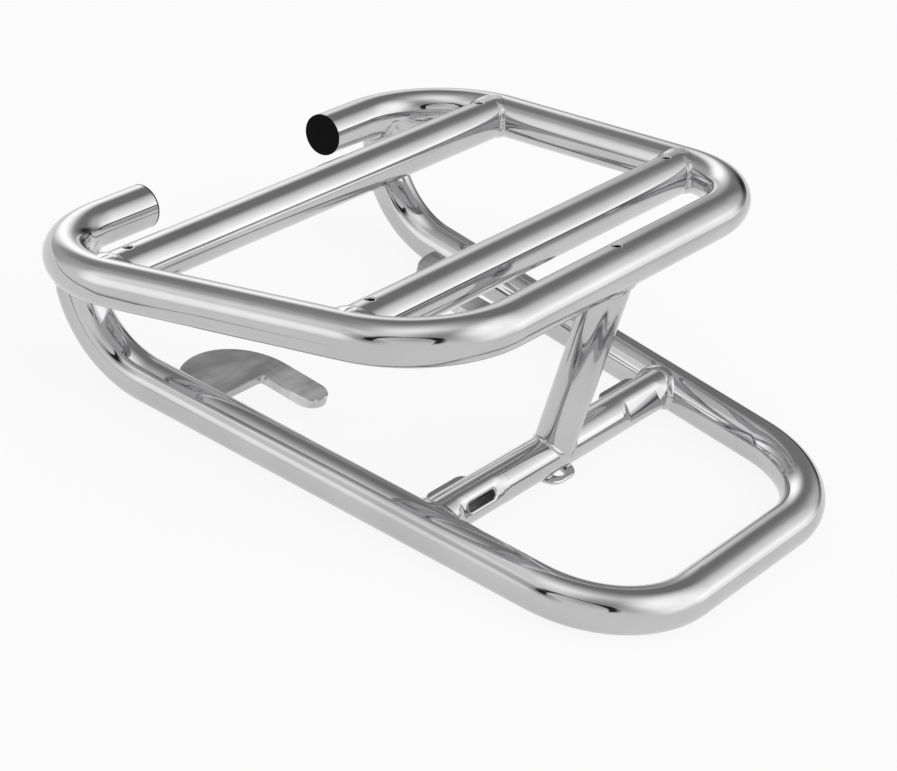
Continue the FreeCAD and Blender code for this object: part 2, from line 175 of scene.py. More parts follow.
chromePlate = {
    # the plate's colour where its painted sheen is lighter and where it is darker
    "colours": ("dadada", "b2b2b2"),
    "roughness": {"To Min": 0.1, "To Max": 0.2},
    "linePitch": (25.0, 0.7, 25.0),  # mm along and across the brushed lines, coarser than the real 0.2 mm
    "lineTurn": 0.5,         # radians from the rack's length to the lines
    "lineDepth": 0.012,
    "bandPitch": (11.0, 55.5, 33.3),  # mm across and along the soft lighter and darker bands of painted reflection, and in depth
    "bandTurn": -0.35,
    "wavePitch": 14.0,       # mm between the shallow waves that hand linishing leaves
    "waveHeight": 0.16,
}


def linishedPlate(tree):
    # Chromium plate over hand linished steel: softer than the tubes, faintly wavy, with fine straight lines,
    # and soft lighter and darker bands of painted reflection in its colour.
    place = addNode(tree, "TexCoord").outputs["Object"]
    noises = []
    for pattern, crumble in (("line", 0.5), ("band", 0.55)):
        scale = tuple(1000 / pitch for pitch in chromePlate[pattern + "Pitch"])
        turned = (0, 0, chromePlate[pattern + "Turn"])
        stretch = addNode(tree, "Mapping", {"Rotation": turned, "Scale": scale}, {"Vector": place})
        noises.append(addNode(tree, "TexNoise", {"Scale": 1.0, "Roughness": crumble}, {"Vector": stretch}))
    lines, paintedSheenBands = noises
    gloss = addNode(tree, "MapRange", {**noiseMiddle, **chromePlate["roughness"]}, {"Value": lines})
    # painted sheen: soft bands that lighten and darken the colour in place of reflected surroundings
    polishAndSheenMix = addNode(tree, "MapRange", {"From Min": 0.35, "From Max": 0.65}, {"Value": paintedSheenBands})
    light, dark = map(srgb, chromePlate["colours"])
    colour = addNode(tree, "Mix", {"data_type": "RGBA", 6: light, 7: dark}, {0: polishAndSheenMix}).outputs[2]
    waves = addNode(tree, "TexNoise",
                    {"Scale": 1000 / chromePlate["wavePitch"], "Detail": 1.5, "Roughness": 0.45},
                    {"Vector": place})
    wavy = addNode(tree, "Bump", {"Distance": chromePlate["waveHeight"] * mm}, {"Height": waves})
    bump = addNode(tree, "Bump", {"Strength": 0.4, "Distance": chromePlate["lineDepth"] * mm},
                   {"Height": lines, "Normal": wavy})
    return addNode(tree, "BsdfPrincipled", {"Metallic": 1.0},
                   {"Base Color": colour, "Roughness": gloss, "Normal": bump})


chromeWeld = {
    "colour": "c9c9ca",
    "roughness": {"To Min": 0.08, "To Max": 0.18},
    "lumpPitch": 3.5,        # mm between the small lumps
    "lumpHeight": 0.022,
}


def dressedWeld(tree):
    # Chromium plate over a dressed weld: bright, with the metal's own small lumps left in it.
    place = addNode(tree, "TexCoord").outputs["Object"]
    lumps = addNode(tree, "TexNoise", {"Scale": 1000 / chromeWeld["lumpPitch"]}, {"Vector": place})
    gloss = addNode(tree, "MapRange", {**noiseMiddle, **chromeWeld["roughness"]}, {"Value": lumps})
    bump = addNode(tree, "Bump", {"Strength": 0.6, "Distance": chromeWeld["lumpHeight"] * mm},
                   {"Height": lumps})
    return addNode(tree, "BsdfPrincipled", {"Base Color": srgb(chromeWeld["colour"]), "Metallic": 1.0},
                   {"Roughness": gloss, "Normal": bump})


# steel inside the tubes, where the plating doesn't reach: dark, dull and slightly brown
bareBore = {
    "colours": ("3a3734", "1f1d1b"),
    "metal": 0.3,
    "roughness": {"To Min": 0.5, "To Max": 0.85},
    "blotchPitch": 3.33,     # mm
}
# inside the slotted tube, where the plating bath reached: chromium over unpolished steel, a dull silver grey
platedBore = {
    "colours": ("f0f0f0", "dededc"),
    "metal": 0.0,            # too rough to mirror anything, so it is drawn as a pale matt surface
    "roughness": {"To Min": 0.35, "To Max": 0.55},
    "blotchPitch": 4.0,
}


def tubeBore(tree, bore):
    place = addNode(tree, "TexCoord").outputs["Object"]
    blotches = addNode(tree, "TexNoise", {"Scale": 1000 / bore["blotchPitch"], "Detail": 3.0},
                       {"Vector": place})
    gloss = addNode(tree, "MapRange", {**noiseMiddle, **bore["roughness"]}, {"Value": blotches})
    first, second = map(srgb, bore["colours"])
    colour = addNode(tree, "Mix", {"data_type": "RGBA", 6: first, 7: second}, {0: blotches}).outputs[2]
    return addNode(tree, "BsdfPrincipled", {"Metallic": bore["metal"]},
                   {"Base Color": colour, "Roughness": gloss})


mouldedPlug = {
    "colour": "0a0a0a",
    "shine": 0.08,
    "roughness": {"To Min": 0.6, "To Max": 0.8},
    "grainPitch": 0.625,     # mm
    "grainDepth": 0.05,
}


def sparkedPlastic(tree):
    # Black polyethylene, moulded with a fine spark-eroded grain: matt, so it stays nearly black.
    place = addNode(tree, "TexCoord").outputs["Object"]
    grain = addNode(tree, "TexNoise", {"Scale": 1000 / mouldedPlug["grainPitch"]}, {"Vector": place})
    gloss = addNode(tree, "MapRange", {**noiseMiddle, **mouldedPlug["roughness"]}, {"Value": grain})
    bump = addNode(tree, "Bump", {"Strength": 0.5, "Distance": mouldedPlug["grainDepth"] * mm},
                   {"Height": grain})
    return addNode(tree, "BsdfPrincipled",
                   {"Base Color": srgb(mouldedPlug["colour"]), "Specular IOR Level": mouldedPlug["shine"]},
                   {"Roughness": gloss, "Normal": bump})


# each slot's surface, and the angle in degrees past which an edge stays sharp
finishes = {
    "chrome_tube": (makeMaterial("chrome plate over lengthways buffed tube", buffedTube), 40),
    "chrome_plate": (makeMaterial("chrome plate over linished steel plate", linishedPlate), 30),
    "chrome_weld": (makeMaterial("chrome plate over dressed weld metal", dressedWeld), 60),
    "black_plastic": (makeMaterial("black moulded polyethylene", sparkedPlastic), 40),
}
boreSteel = makeMaterial("unplated steel inside the tube", tubeBore, bareBore)
boreChrome = makeMaterial("chrome plate over unpolished bore", tubeBore, platedBore)
print("materials made")


class CentreLine:
    # straight runs joined by tangent arcs, each part as plain arrays, and the radius of the tube round them
    def __init__(self, corners, radius=rack["mainRadius"]):
        bend = rack["bendRadius"]
        corners = np.array(corners, float)
        self.radius = radius
        self.parts = []
        start = corners[0]
        for before, corner, after in zip(corners, corners[1:], corners[2:]):
            incoming, outgoing = unit(corner - before), unit(after - corner)
            half = math.acos(np.clip(incoming @ outgoing, -1, 1)) / 2
            arcStart = corner - incoming * bend * math.tan(half)
            centre = corner + unit(outgoing - incoming) * bend / math.cos(half)
            self.parts.append(("run", start, arcStart))
            self.parts.append(("arc", centre, unit(arcStart - centre), incoming, 2 * half))
            start = corner + outgoing * bend * math.tan(half)
        self.parts.append(("run", start, corners[-1]))

    def nearest(self, points):
        # the nearest spot of the line to each point, and how far off it is
        best = np.full(points.shape[:-1], np.inf)
        spot = np.zeros_like(points)
        for part in self.parts:
            if part[0] == "run":
                run = part[2] - part[1]
                share = np.clip(((points - part[1]) @ run) / (run @ run), 0, 1)
                candidate = part[1] + share[..., None] * run
            else:
                centre, out, incoming, angle = part[1:]
                offset = points - centre
                swing = np.clip(np.arctan2(offset @ incoming, offset @ out), 0, angle)[..., None]
                candidate = centre + rack["bendRadius"] * (out * np.cos(swing) + incoming * np.sin(swing))
            gap = np.linalg.norm(points - candidate, axis=-1)
            spot = np.where((gap < best)[..., None], candidate, spot)
            best = np.minimum(gap, best)
        return spot, best


def bothSides(corners):
    # the left half's corners, and on the way back the same ones mirrored
    corners = np.array(corners)
    return np.concatenate([corners, corners[::-1] * (1, -1, 1)])


def barLine(along):
    return CentreLine(bothSides([framePoint(along, frameHalfWidth(along))]))


frameLine = CentreLine(bothSides([
    framePoint(rack["frameLength"], rack["frameOpening"] / 2),
    framePoint(rack["frameLength"], rack["frameFrontWidth"] / 2),
    framePoint(0, rack["frameRearWidth"] / 2),
]))
legAcross = rack["loopFrontWidth"] / 2
loopLine = CentreLine(bothSides([
    (legX, legAcross, legTop[2] + rack["legOverrun"]),
    (legX, legAcross, loopHeight),
    (loopRearX, rack["loopRearWidth"] / 2, loopHeight),
]))
crossEnd = np.array([crossTubeX, loopHalfWidth(crossTubeX), loopHeight])
crossLine = CentreLine(bothSides([crossEnd]), rack["braceRadius"])
strutFoot, strutHead = np.array([crossTubeX, 0.0, loopHeight]), framePoint(0, 0)
strutLine = CentreLine([strutFoot, strutHead], rack["braceRadius"])
print("centre lines ready")


tubeGrid = {
    "roundSteps": 96,
    "runStep": 12.0,         # mm between stations on a plain straight run
    "arcSteps": 44,          # stations round one bend
    "fineStep": 0.72,        # mm between stations beside a hole
    "searchReach": 60.0,     # mm, the furthest that a cut is looked for along a tube
    "searchSteps": 26,       # halvings of that reach
    "endPull": 4.0,          # mm beyond the deepest cut over which the stations are pulled along with it
}


def lineStations(line, finePlaces=()):
    # Spots, headings and running lengths along a line. A fine place is (length along, half count of fine
    # steps): stations there lie fineStep apart, with the middle one exactly on the place.
    spots, headings, lengths = [], [], []
    travelled = 0.0
    for part in line.parts:
        if part[0] == "run":
            length = float(np.linalg.norm(part[2] - part[1]))
            marks = list(np.linspace(0, length, max(2, int(length / tubeGrid["runStep"]) + 1)))
            for place, count in finePlaces:
                local = place - travelled
                if 0 < local < length:
                    reach = (count + 0.5) * tubeGrid["fineStep"]
                    marks = [mark for mark in marks if abs(mark - local) > reach]
                    marks += list(local + np.arange(-count, count + 1) * tubeGrid["fineStep"])
            marks = np.array(sorted(marks))
            spots.append(part[1] + (part[2] - part[1]) * (marks / length)[:, None])
            headings.append(np.repeat(unit(part[2] - part[1])[None], len(marks), 0))
            lengths.append(travelled + marks)
            travelled += length
        else:
            centre, out, incoming, angle = part[1:]
            swing = np.linspace(0, angle, tubeGrid["arcSteps"] + 1)[1:-1, None]
            spots.append(centre + rack["bendRadius"] * (out * np.cos(swing) + incoming * np.sin(swing)))
            headings.append(incoming * np.cos(swing) - out * np.sin(swing))
            lengths.append(travelled + rack["bendRadius"] * swing[:, 0])
            travelled += rack["bendRadius"] * angle
    return np.concatenate(spots), np.concatenate(headings), np.concatenate(lengths)


def concentric(i, j):
    # the angle and ring of a square's grid point on nested circles, so that squares become circles
    ring = np.maximum(abs(i), abs(j))
    wide = abs(i) >= abs(j)
    safeI, safeJ = np.where(i == 0, 1, i), np.where(j == 0, 1, j)
    angle = np.where(wide, np.pi / 4 * j / safeI + np.where(i < 0, np.pi, 0),
                     np.pi / 2 - np.pi / 4 * i / safeJ + np.where(j < 0, np.pi, 0))
    return angle, ring


def slideOut(points, heading, cutter, gap=0.0):
    # how far each point slides along the heading until it lies gap outside the skin of the cutter's tube
    low, high = np.zeros(len(points)), np.full(len(points), tubeGrid["searchReach"])
    for _ in range(tubeGrid["searchSteps"]):
        middle = (low + high) / 2
        outside = cutter.nearest(points + heading * middle[:, None])[1] > cutter.radius + gap
        high, low = np.where(outside, middle, high), np.where(outside, low, middle)
    return high


rolledLip = {
    "out": (0.0, 0.3, 0.8, 1.5),     # how far each ring lies outside the hole's edge, in lead-ins
    "down": (1.0, 0.42, 0.12, 0.0),  # how far it lies under the surface, in lead-ins
}


class TubePiece:
    # A hollow tube on a grid of stations by angles. Its outside and inside are two layers of the same grid:
    # layer(station, angle) = spot + r * (upward cos + side sin), and the open edges are joined by a rim.
    # Upward is as near the hint as it can be.
    def __init__(self, line, upHint, finePlaces=()):
        self.radius = line.radius
        self.steps = tubeGrid["roundSteps"]
        self.spots, self.headings, self.lengths = lineStations(line, finePlaces)
        self.side = unit(np.cross(self.headings, upHint))
        self.upward = np.cross(self.side, self.headings)
        self.angle = np.arange(self.steps) / self.steps * turn
        ring = (self.upward[:, None] * np.cos(self.angle)[None, :, None]
                + self.side[:, None] * np.sin(self.angle)[None, :, None])
        self.walls = (0.0, rack["wall"])
        self.layers = np.stack([self.spots[:, None] + (line.radius - wall) * ring for wall in self.walls])
        self.openFace = np.zeros((len(self.spots) - 1, self.steps), bool)

    def cope(self, cutter, ends=(0, -1)):
        # pulls the stations near an end back so that the end ring keeps the fit-up gap to the cutter's skin
        for end, layer in itertools.product(ends, self.layers):
            inwards = self.headings[end] * (1 if end == 0 else -1)
            reach = slideOut(layer[end], inwards, cutter, rack["fitUpGap"])
            fromEnd = abs(self.lengths - self.lengths[end])
            share = np.clip(1 - fromEnd / (reach.max() + tubeGrid["endPull"]), 0, 1)
            layer += inwards * (reach * share[:, None])[..., None]

    def hole(self, place, centreAngle, shape, seat=None):
        # Opens a hole whose middle is at a length along the tube and an angle round it. The grid's block
        # there goes to nested slots: point = (spine place + r cos, r sin), blended back to the grid at the
        # block's rim. The rings next to the edge roll over into the hole.
        row = int(np.argmin(abs(self.lengths - place)))
        column = int(round(centreAngle / turn * self.steps)) % self.steps
        fine = tubeGrid["fineStep"]
        spine = int(round(shape["halfLength"] / fine))
        edge, rim = shape["rings"]
        lip = edge + len(rolledLip["out"]) - 1
        size = rim + spine
        i, j = np.meshgrid(np.arange(-size, size + 1), np.arange(-rim, rim + 1), indexing="ij")
        angle, ring = concentric(np.sign(i) * np.maximum(abs(i) - spine, 0), j)
        blend = smoothStep((ring - lip) / (rim - lip))
        lipPlace = np.clip(ring - edge, 0, lip - edge)
        lipOut, lipDown = (shape["leadIn"] * np.array(rolledLip[way])[lipPlace] for way in ("out", "down"))
        ringStep = 2 * self.radius * math.sin(math.pi / self.steps)
        grown = shape["radius"] + lipOut + np.maximum(ring - lip, 0) * ringStep
        grown = np.where(ring < edge, shape["radius"] * ring / edge, grown)
        spinePlace = np.clip(i, -spine, spine) * (shape["halfLength"] / max(spine, 1))
        along = (spinePlace + grown * np.cos(angle)) * (1 - blend) + i * fine * blend
        cos, sin = math.cos(self.angle[column]), math.sin(self.angle[column])
        normal = self.upward[row] * cos + self.side[row] * sin
        across = self.side[row] * cos - self.upward[row] * sin
        for layer, wall, down in zip(self.layers, self.walls, (lipDown, 0.0)):
            radius = self.radius - wall
            sideways = grown * np.sin(angle) * (1 - blend) + radius * np.sin(self.angle[1] * j) * blend
            rise = np.sqrt(np.maximum(radius ** 2 - sideways ** 2, 0))
            if seat:
                rise = seat(rise, along, wall)
            layer[row + i, (column + j) % self.steps] = (
                self.spots[row] + self.headings[row] * along[..., None]
                + across * sideways[..., None] + normal * (rise - down)[..., None])
        # faces inside the edge ring are left open
        i, j = i[:-1, :-1], j[:-1, :-1]
        ring = np.maximum(np.maximum(abs(i), abs(i + 1)) - spine, np.maximum(abs(j), abs(j + 1)))
        inside = ring <= edge
        self.openFace[(row + i)[inside], ((column + j) % self.steps)[inside]] = True

    def build(self, node, name, bore=boreSteel):
        rows, columns = self.layers.shape[1:3]
        count = rows * columns
        i, j = np.meshgrid(np.arange(rows - 1), np.arange(columns), indexing="ij")
        nextJ = (j + 1) % columns
        quads = np.stack([i * columns + j, (i + 1) * columns + j,
                          (i + 1) * columns + nextJ, i * columns + nextJ], -1)[~self.openFace]
        # an edge that only one kept face uses is open, and gets a quad to the inner layer
        edges = np.concatenate([quads[:, [k, (k + 1) % 4]] for k in range(4)])
        there, back = edges @ (count, 1), edges @ (1, count)
        a, b = edges[~np.isin(there, back)].T
        bridge = np.stack([b, a, a + count, b + count], -1)
        faces = np.concatenate([quads, quads[:, ::-1] + count, bridge])
        kinds = np.repeat([0, 1, 0], [len(quads), len(quads), len(bridge)])
        used, faces = np.unique(faces, return_inverse=True)
        points = self.layers.reshape(-1, 3)[used]
        # v goes down again past half way, so that the streaks meet without a seam
        away = np.minimum(self.angle, turn - self.angle) * self.radius
        uv = np.stack(np.broadcast_arrays(self.lengths[:, None], away), -1).reshape(-1, 2)
        uv = np.concatenate([uv, uv])[used]
        buildPiece(node, name, "chrome_tube", points, faces.reshape(-1, 4), bore, kinds, uv)


def buildPiece(node, name, slot, points, faces, bore=None, kinds=None, uv=None):
    # The piece that stands in for a node: points in mm, and each face as its vertex numbers. A tube also
    # gives its bore's surface, each face's kind (1 in the bore, 0 elsewhere) and each vertex's uv in mm.
    surface, sharpAngle = finishes[slot]
    mesh = bpy.data.meshes.new(name)
    mesh.from_pydata((points * mm).tolist(), [], faces.tolist())
    mesh.materials.append(surface)
    if bore:
        mesh.materials.append(bore)
        mesh.polygons.foreach_set("material_index", kinds.astype(np.int32))
        corner = np.zeros(len(mesh.loops), np.int32)
        mesh.loops.foreach_get("vertex_index", corner)
        mesh.uv_layers.new(name="run").data.foreach_set("uv", uv[corner].astype(np.float32).ravel())
    mesh.shade_smooth()
    mesh.set_sharp_from_angle(angle=math.radians(sharpAngle))
    mesh.update()
    piece = bpy.data.objects.new(name, mesh)
    bpy.context.scene.collection.objects.link(piece)
    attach(piece, "root")
    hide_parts(node)


ventHole = {
    "radius": 2.25,
    "halfLength": 0.0,
    "inset": 18.5,           # mm from the rail's centre line to a bar's hole
    "rings": (3, 9),         # the hole's edge ring and the block's outer ring
    "leadIn": 0.35,
    "railFine": 12,          # fine steps to each side of the hole
    "barFine": 9,
}


def makeTopRail():
    middle = lineStations(frameLine)[2][-1] / 2
    tube = TubePiece(frameLine, frameUp, [(middle, ventHole["railFine"])])
    tube.hole(middle, 0.0, ventHole)
    tube.build("top_rail", "upperFrameRail")


def makeBar(node, name, along):
    places = (ventHole["inset"], 2 * frameHalfWidth(along) - ventHole["inset"])
    tube = TubePiece(barLine(along), frameUp, [(place, ventHole["barFine"]) for place in places])
    tube.cope(frameLine)
    for place in places:
        tube.hole(place, 0.0, ventHole)
    tube.build(node, name)


def makeLowerLoop():
    besideBoth = (0.37, 0.0, 0.93)  # a direction that runs along neither the loop nor its legs
    tube = TubePiece(loopLine, besideBoth)
    tube.cope(frameLine)
    tube.build("lower_loop", "lowerGrabLoop")


pressedSeat = {
    "spacing": 133.0,        # mm between the places of the two seats; only the left one has a slot
    "shift": 1.5,            # mm from the slot's middle to the flat's middle, outwards
    "angle": math.radians(62.0),   # from upright to the seat's normal, towards the rear
    "farLift": math.radians(5.0),  # by which the right seat faces further up
    "halfFlat": 13.5,
    "depth": 1.4,
    "rampSlope": 0.5,
    "rampEnd": 3.0,          # mm past the ramps where the press stops
    "soften": 1.0,           # mm, how softly the flat and its ramps run into the tube
}
seatSlot = {
    "radius": 2.3,
    "halfLength": 8.1,       # half the slot's straight part
    "rings": (4, 10),
    "leadIn": 0.75,
    "fine": 26,
}


def pressSeat(tube, place, centreAngle):
    # Flattens one side: height along the seat's normal = the softer lesser of the tube's and the seat's,
    # face + (gap - sqrt(gap^2 + soften^2)) / 2, where gap is the tube's height over the seat's face.
    normal = tube.upward * math.cos(centreAngle) + tube.side * math.sin(centreAngle)

    def flatten(rise, along, wall):
        ramp = pressedSeat["rampSlope"] * np.maximum(abs(along) - pressedSeat["halfFlat"], 0)
        face = tube.radius - pressedSeat["depth"] - wall + ramp
        gap = rise - face
        return face + (gap - np.sqrt(gap ** 2 + pressedSeat["soften"] ** 2)) / 2

    along = (tube.lengths - place)[:, None]
    reach = pressedSeat["halfFlat"] + pressedSeat["depth"] / pressedSeat["rampSlope"] + pressedSeat["rampEnd"]
    for layer, wall in zip(tube.layers, tube.walls):
        rise = np.einsum("ijk,ik->ij", layer - tube.spots[:, None], normal)
        lower = np.minimum(flatten(rise, along, wall), rise)
        lower = np.where((abs(along) < reach) & (rise > 0), lower, rise)
        layer += normal[:, None] * (lower - rise)[..., None]
    return flatten


def makeCrossTube():
    middle = crossEnd[1]
    left, right = middle - pressedSeat["spacing"] / 2, middle + pressedSeat["spacing"] / 2
    seatNormal = (-math.sin(pressedSeat["angle"]), 0.0, math.cos(pressedSeat["angle"]))
    tube = TubePiece(crossLine, seatNormal, [(left, seatSlot["fine"]), (right, seatSlot["fine"])])
    tube.cope(loopLine)
    shift = pressedSeat["shift"]
    flatten = pressSeat(tube, left - shift, 0.0)
    pressSeat(tube, right + shift, -pressedSeat["farLift"])
    tube.hole(left, 0.0, seatSlot, lambda rise, along, wall: flatten(rise, along + shift, wall))
    tube.hole(left, math.pi, seatSlot)
    tube.build("lower_cross_tube", "crossBrace", boreChrome)


def makeStrut():
    tube = TubePiece(strutLine, (1.0, 0.0, 0.0))
    tube.cope(crossLine, [0])
    tube.cope(frameLine, [-1])
    tube.build("strut", "frameStrut")


makeTopRail()
makeBar("front_bar", "frontFrameBar", rack["frontBarPlace"])
makeBar("rear_bar", "rearFrameBar", rack["rearBarPlace"])
makeLowerLoop()
makeCrossTube()
makeStrut()
print("tubes made")


ringBead = {
    "steps": 260,
    "crownSteps": 12,
    "startNear": (0.31, 0.62, 0.72),  # the direction from the joint near which each bead starts
    "mainLeg": 2.3,          # mm from the joint's root to the bead's toe on the main tube
    "branchLeg": 2.1,
    "crown": (0.25, 0.4),    # mm above the line between the toes: in a square corner, and on level skins
    "farCrown": 0.1,         # mm there on the right bar ends, where the caps are flush
    "barCap": 6.0,           # mm by which the bead's cap on a bar's end is longer than the rest of the bead
    "braceCap": 1.5,
    "strutCap": -0.9,
    "capPull": 0.2,          # share of the cap by which its other leg is shorter
    "sink": 0.06,            # mm that the toes lie under the tubes' skins
    "depth": 0.6,            # mm that the hidden underside lies below the root
    "floorGap": 0.1,         # mm that a bead keeps to the floor
    "roundOff": 1.4,         # mm over which the root line's sharp turns are rounded
    "strutRoundOff": 2.6,
    "strutLegs": 0.7,        # the legs of the strut's lower bead, as a share of the others'
    "ripplePitch": 2.6,
    "rippleDepth": 0.018,
    "rippleBow": 2.4,        # radians by which a ripple's edges lag behind its middle
    "swell": 0.12,           # share by which the legs slowly swell and thin
    "crownSwell": 0.1,       # mm by which the crown does
    "swellWaves": ((2, 0.7), (3, 2.1), (5, 4.4), (8, 1.2)),  # waves round a bead, and their shift per bead
}
beadNumbers = itertools.count(1)


def aroundRing(values, steps):
    # the values at equal distances round a closed line
    closed = np.concatenate([values, values[:1]])
    lengths = np.concatenate([[0], np.cumsum(np.linalg.norm(np.diff(closed, axis=0), axis=1))])
    wanted = np.arange(steps) / steps * lengths[-1]
    return np.stack([np.interp(wanted, lengths, closed[:, k]) for k in range(3)], -1), lengths[-1]


def facingOut(points, quads):
    # turns every quad round if the closed shape's volume comes out negative
    a, b, c, d = (points[quads[:, k]] for k in range(4))
    volume = np.einsum("ij,ij->i", a, np.cross(b, c) + np.cross(c, d)).sum()
    return quads if volume > 0 else quads[:, ::-1]


def makeRingBead(node, name, mainLine, branchLine, start, direction, cap, roundOff=ringBead["roundOff"],
                 levelCrown=ringBead["crown"][1], legShare=1.0):
    # Root line: the spots on both tubes' skins, found by sliding along the branch from the joint's start.
    # Section at each spot: toes A and B slide out over the two skins, and the crown is the quadratic curve
    # (1-t)^2 A + 2t(1-t) C + t^2 B, where C lifts its middle by the crown's height. The underside is hidden.
    # Where the two skins run level, toe B goes cap mm further out, as a cap of weld over the tube's end.
    direction = unit(direction)
    lengthways = unit(np.cross(direction, np.cross(ringBead["startNear"], direction)))
    sideways = np.cross(direction, lengthways)
    steps = ringBead["steps"]
    turnAt = np.arange(2 * steps) / (2 * steps) * turn
    ray = lengthways * np.cos(turnAt)[:, None] + sideways * np.sin(turnAt)[:, None]
    reach = np.full(2 * steps, branchLine.radius)
    for _ in range(4):  # each round brings the spots nearer to both skins
        foot = start + ray * reach[:, None]
        root = foot + direction * slideOut(foot, direction, mainLine)[:, None]
        reach = reach + branchLine.radius - branchLine.nearest(root)[1]
    root, total = aroundRing(root, steps)
    for _ in range(int(2 * (roundOff * steps / total) ** 2)):  # the passes that spread by roundOff mm
        root = (np.roll(root, 1, 0) + 2 * root + np.roll(root, -1, 0)) / 4
    heading = unit(np.roll(root, -1, 0) - np.roll(root, 1, 0))
    mainNormal = unit(root - mainLine.nearest(root)[0])
    branchNormal = unit(root - branchLine.nearest(root)[0])
    share = np.arange(steps) / steps * turn
    number = next(beadNumbers)
    waves = (np.sin(wave * share + shift * number) / wave for wave, shift in ringBead["swellWaves"])
    swell = sum(waves)[:, None]
    level = np.clip(np.einsum("ij,ij->i", mainNormal, branchNormal), 0, 1)[:, None]
    capping = cap * level ** 3
    toes = []
    for line, normal, other, leg, sign in (
            (mainLine, mainNormal, branchNormal, ringBead["mainLeg"] - ringBead["capPull"] * capping, 1),
            (branchLine, branchNormal, mainNormal, ringBead["branchLeg"] + capping, -1)):
        outward = unit(np.cross(heading, normal))
        outward = outward * np.sign(np.einsum("ij,ij->i", outward, other).mean())
        toe = root + outward * leg * legShare * (1 + sign * ringBead["swell"] * swell)
        spot = line.nearest(toe)[0]
        toes.append((spot + unit(toe - spot) * (line.radius - ringBead["sink"]))[:, None])
    up = unit(mainNormal + branchNormal)
    t = np.linspace(0, 1, ringBead["crownSteps"] + 1)[None, :, None]
    ripples = round(total / ringBead["ripplePitch"])
    phase = (share * ripples)[:, None, None] + ringBead["rippleBow"] * (2 * t - 1) ** 2
    cornerCrown = ringBead["crown"][0]
    crown = cornerCrown + (levelCrown - cornerCrown) * level + ringBead["crownSwell"] * swell
    crown = crown[:, None] + ringBead["rippleDepth"] * np.sin(phase)
    lifted = (toes[0] + toes[1]) / 2 + up[:, None] * 2 * crown
    skin = (1 - t) ** 2 * toes[0] + 2 * t * (1 - t) * lifted + t ** 2 * toes[1]
    points = np.concatenate([skin, (root - up * ringBead["depth"])[:, None]], 1)
    points[..., 2] = np.maximum(points[..., 2], ringBead["floorGap"])
    rows, columns = points.shape[:2]
    i, j = np.meshgrid(np.arange(rows), np.arange(columns), indexing="ij")
    nextI, nextJ = (i + 1) % rows, (j + 1) % columns
    quads = np.stack([i * columns + j, i * columns + nextJ, nextI * columns + nextJ, nextI * columns + j], -1)
    points = points.reshape(-1, 3)
    buildPiece(node, name, "chrome_weld", points, facingOut(points, quads.reshape(-1, 4)))


for side, sign in (("left", 1), ("right", -1)):
    title = side.capitalize()
    for label, place in (("front", rack["frontBarPlace"]), ("rear", rack["rearBarPlace"])):
        start, far = (framePoint(place, way * frameHalfWidth(place)) for way in (sign, -sign))
        makeRingBead(label + "_bar_weld_" + side, label + "BarBead" + title, frameLine, barLine(place),
                     start, far - start, ringBead["barCap"],
                     levelCrown=ringBead["crown"][1] if sign > 0 else ringBead["farCrown"])
    makeRingBead("cross_tube_weld_" + side, "crossTubeBead" + title, loopLine, crossLine,
                 crossEnd * (1, sign, 1), np.array([0.0, -sign, 0.0]), ringBead["braceCap"])
    makeRingBead("leg_weld_" + side, "legBead" + title, frameLine, loopLine,
                 railAbove(sign * legAcross), np.array([0.0, 0.0, -1.0]), 0.0)
makeRingBead("strut_foot_weld", "strutFootBead", crossLine, strutLine, strutFoot, strutHead - strutFoot,
             ringBead["strutCap"], ringBead["strutRoundOff"], legShare=ringBead["strutLegs"])
makeRingBead("strut_top_weld", "strutTopBead", frameLine, strutLine, strutHead, strutFoot - strutHead,
             0.0, ringBead["strutRoundOff"])
print("ring beads made")


# plates, plugs and straight beads that come in pairs, with their names and slots
pairedPieces = {
    "hook_plate": ("hookPlate", "chrome_plate"),
    "stop_lug": ("stopLug", "chrome_plate"),
    "end_plug": ("endPlug", "black_plastic"),
    "hook_weld": ("hookBead", "chrome_weld"),
    "lug_weld": ("lugBead", "chrome_weld"),
}
mergeReach = 2e-6  # m, closer than which two vertices of a solid's mesh are one


def dressedCopy(node, name, slot):
    # a copy of a solid's mesh with its doubles merged, smooth where it curves and sharp at its edges
    mesh = nodes[node].data
    spots = np.zeros(len(mesh.vertices) * 3, np.float32)
    mesh.vertices.foreach_get("co", spots)
    spots = spots.reshape(-1, 3)
    corners = np.zeros(len(mesh.loops), np.int32)
    mesh.loops.foreach_get("vertex_index", corners)
    keys = np.round(spots / mergeReach).astype(np.int64)
    first, merged = np.unique(keys, axis=0, return_index=True, return_inverse=True)[1:]
    faces = merged.reshape(-1)[corners].reshape(-1, 3)
    faces = faces[(faces != np.roll(faces, 1, 1)).all(1)]
    buildPiece(node, name, slot, spots[first] / mm, faces)


for side in ("left", "right"):
    for part, (name, slot) in pairedPieces.items():
        dressedCopy(part + "_" + side, name + side.capitalize(), slot)
dressedCopy("eye_tab", "eyeTab", "chrome_plate")
dressedCopy("eye_tab_weld", "eyeTabBead", "chrome_weld")
print("plates, plugs and straight beads dressed")


floorLook = {
    "halfSize": 6.0,         # m
    "colour": "f6f6f6",
    "whiteShare": 0.88,      # share of plain white in what the camera sees, so that the shadows stay faint
    "chromeShare": 0.7,      # the same in what the chrome sees
    "bandLeft": 0.265,       # m to the left where the chrome sees a painted dark band, soft on its far side
    "bandOnset": 0.004,      # m over which its near side sets in
    "bandWidth": 0.05,
    "bandDepth": 0.9,
    "bandStart": (0.02, 0.12),   # m along the rack, where the band begins, and where it has its full depth
    "dip": 0.039,            # m by which the band comes nearer at the front
    "dipAt": (0.1, 0.118, 0.2),  # m along the rack: where the dip begins, where it is deepest, where it ends
    "farShade": (-0.36, -0.62),  # m to the right, over which the floor that the chrome sees darkens, as a painted reflection
    "farDepth": 0.15,
}


